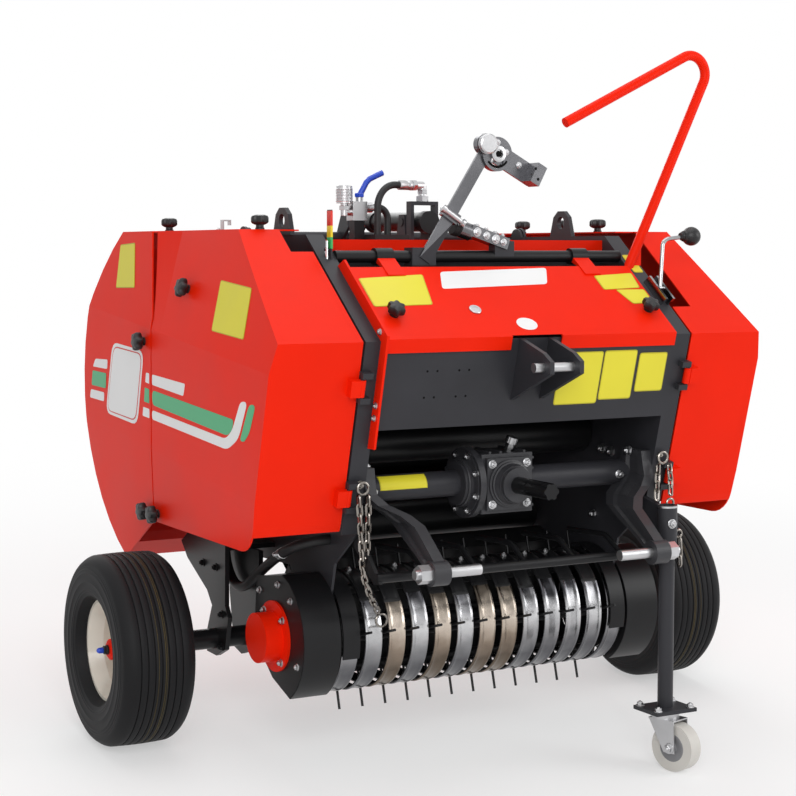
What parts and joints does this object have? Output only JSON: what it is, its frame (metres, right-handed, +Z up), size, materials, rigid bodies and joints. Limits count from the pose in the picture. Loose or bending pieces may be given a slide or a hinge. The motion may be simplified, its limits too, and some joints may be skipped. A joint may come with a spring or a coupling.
{
  "type": "mini round baler",
  "caption": "Compact red tractor-mounted round baler on ribbed implement wheels and a castor stand, with tined pickup, hinged lid and doors, and a ram-lifted tailgate.",
  "frame": {"origin": "on the ground, midway between the wheels and in the middle of the length", "axes": "+X to the machine's right hand seen from the tractor looking back, -Y towards the tractor, +Z up"},
  "size_m": [1.525, 1.2172, 1.512],
  "materials": {
    "paint_red": "gloss",
    "paint_charcoal": "satin",
    "paint_black": "satin",
    "zinc_steel": "satin",
    "chrome": "polished",
    "tyre_rubber": "matte",
    "paint_cream": "gloss",
    "nylon": "satin",
    "hose_rubber": "matte",
    "cast_housing": "satin"
  },
  "bodies": {
    "chassis": {"axle": "paint_black", "axle_brackets": "paint_black", "side_plate_left": "paint_charcoal", "side_plate_right": "paint_charcoal", "front_panel": "paint_charcoal", "twine_box": "paint_charcoal", "top_sheet": "paint_red", "top_bar": "paint_charcoal", "front_rollers": "zinc_steel", "cover_hinges": "paint_charcoal", "ram_bracket": "paint_charcoal", "pickup_bands": "zinc_steel", "pickup_ends": "paint_black", "end_caps": "paint_red", "crop_guard": "paint_black", "gearbox": "cast_housing", "drive_tubes": "paint_charcoal", "hitch_arms": "paint_charcoal", "link_pins": "zinc_steel", "top_clevis": "paint_charcoal", "top_pin": "zinc_steel", "stand_sleeve": "paint_charcoal", "guide_pipe": "paint_red", "guard_strip": "paint_red", "ball_lever": "chrome", "twine_arm": "paint_charcoal", "twine_tensioner": "zinc_steel", "density_gauge": "paint_charcoal", "lifting_lugs": "paint_charcoal", "hydraulic_fittings": "zinc_steel", "hoses": "hose_rubber", "grommet": "hose_rubber", "hanging_hose": "hose_rubber"},
    "tailgate": {"gate_cover_left": "paint_red", "gate_cover_right": "paint_red", "gate_plate_left": "paint_charcoal", "gate_plate_right": "paint_charcoal", "gate_shell": "paint_red", "gate_rollers": "zinc_steel", "gate_lever": "paint_charcoal"},
    "ram_barrel": {"ram_barrel": "paint_black"},
    "ram_rod": {"ram_rod": "chrome"},
    "wheel_left": {"tyre_left": "tyre_rubber", "rim_left": "paint_cream", "hub_left": "paint_red"},
    "wheel_right": {"tyre_right": "tyre_rubber", "rim_right": "paint_cream", "hub_right": "paint_red"},
    "pickup_reel": {"tine_reel": "paint_black"},
    "pto_input": {"pto_shaft": "zinc_steel"},
    "feed_roller": {"feed_roller": "zinc_steel"},
    "lid": {"hood_lid": "paint_red"},
    "door_left": {"front_cover_left": "paint_red"},
    "door_right": {"front_cover_right": "paint_red"},
    "stand_leg": {"stand_leg": "paint_charcoal"},
    "castor_fork": {"castor_fork": "zinc_steel"},
    "castor_wheel": {"castor_wheel": "nylon"}
  },
  "joints": [
    {"name": "tailgate_hinge", "type": "hinge", "parent": "chassis", "child": "tailgate", "pos_m": [0, 0.21801, 1.05889], "axis": [1, 0, 0], "range_deg": [0, 60]},
    {"name": "ram_pivot", "type": "hinge", "parent": "chassis", "child": "ram_barrel", "pos_m": [-0.06, -0.01284, 1.11327], "axis": [1, 0, 0], "range_deg": [0, 7.48]},
    {"name": "ram_stroke", "type": "slide", "parent": "ram_barrel", "child": "ram_rod", "axis": [0, -0.9966, 0.0821], "range_m": [0, 0.05627]},
    {"name": "wheel_left_spin", "type": "hinge", "parent": "chassis", "child": "wheel_left", "pos_m": [-0.68, 0.04016, 0.203], "axis": [1, 0, 0], "continuous": true},
    {"name": "wheel_right_spin", "type": "hinge", "parent": "chassis", "child": "wheel_right", "pos_m": [0.68, 0.04016, 0.203], "axis": [1, 0, 0], "continuous": true},
    {"name": "reel_spin", "type": "hinge", "parent": "chassis", "child": "pickup_reel", "pos_m": [0, -0.17878, 0.26628], "axis": [-1, 0, 0], "continuous": true},
    {"name": "pto_spin", "type": "hinge", "parent": "chassis", "child": "pto_input", "pos_m": [0, -0.29591, 0.59401], "axis": [0, -0.9954, 0.0958], "continuous": true},
    {"name": "feed_roller_spin", "type": "hinge", "parent": "chassis", "child": "feed_roller", "pos_m": [0, -0.11124, 0.65026], "axis": [1, 0, 0], "continuous": true},
    {"name": "lid_hinge", "type": "hinge", "parent": "chassis", "child": "lid", "pos_m": [0, -0.20117, 1.05706], "axis": [-1, 0, 0], "range_deg": [0, 80]},
    {"name": "door_left_hinge", "type": "hinge", "parent": "chassis", "child": "door_left", "pos_m": [-0.3915, -0.40195, 0.71213], "axis": [0, -0.165, 0.9863], "range_deg": [0, 100]},
    {"name": "door_right_hinge", "type": "hinge", "parent": "chassis", "child": "door_right", "pos_m": [0.3915, -0.40195, 0.71213], "axis": [0, 0.165, -0.9863], "range_deg": [0, 100]},
    {"name": "stand_slide", "type": "slide", "parent": "chassis", "child": "stand_leg", "axis": [0, 0.0958, 0.9954], "range_m": [0, 0.24]},
    {"name": "castor_swivel", "type": "hinge", "parent": "stand_leg", "child": "castor_fork", "pos_m": [0.321, -0.51928, 0.12091], "axis": [0, 0.0958, 0.9954], "continuous": true},
    {"name": "castor_roll", "type": "hinge", "parent": "castor_fork", "child": "castor_wheel", "pos_m": [0.32977, -0.55483, 0.051], "axis": [0.9563, 0.291, -0.028], "continuous": true}
  ],
  "couplings": [
    {"joint": "ram_pivot", "follows": "tailgate_hinge", "ratio": 0.1247},
    {"joint": "ram_stroke", "follows": "tailgate_hinge", "m_per_rad": 0.053736},
    {"joint": "pto_spin", "follows": "reel_spin", "ratio": 3},
    {"joint": "feed_roller_spin", "follows": "reel_spin", "ratio": 1.5}
  ]
}
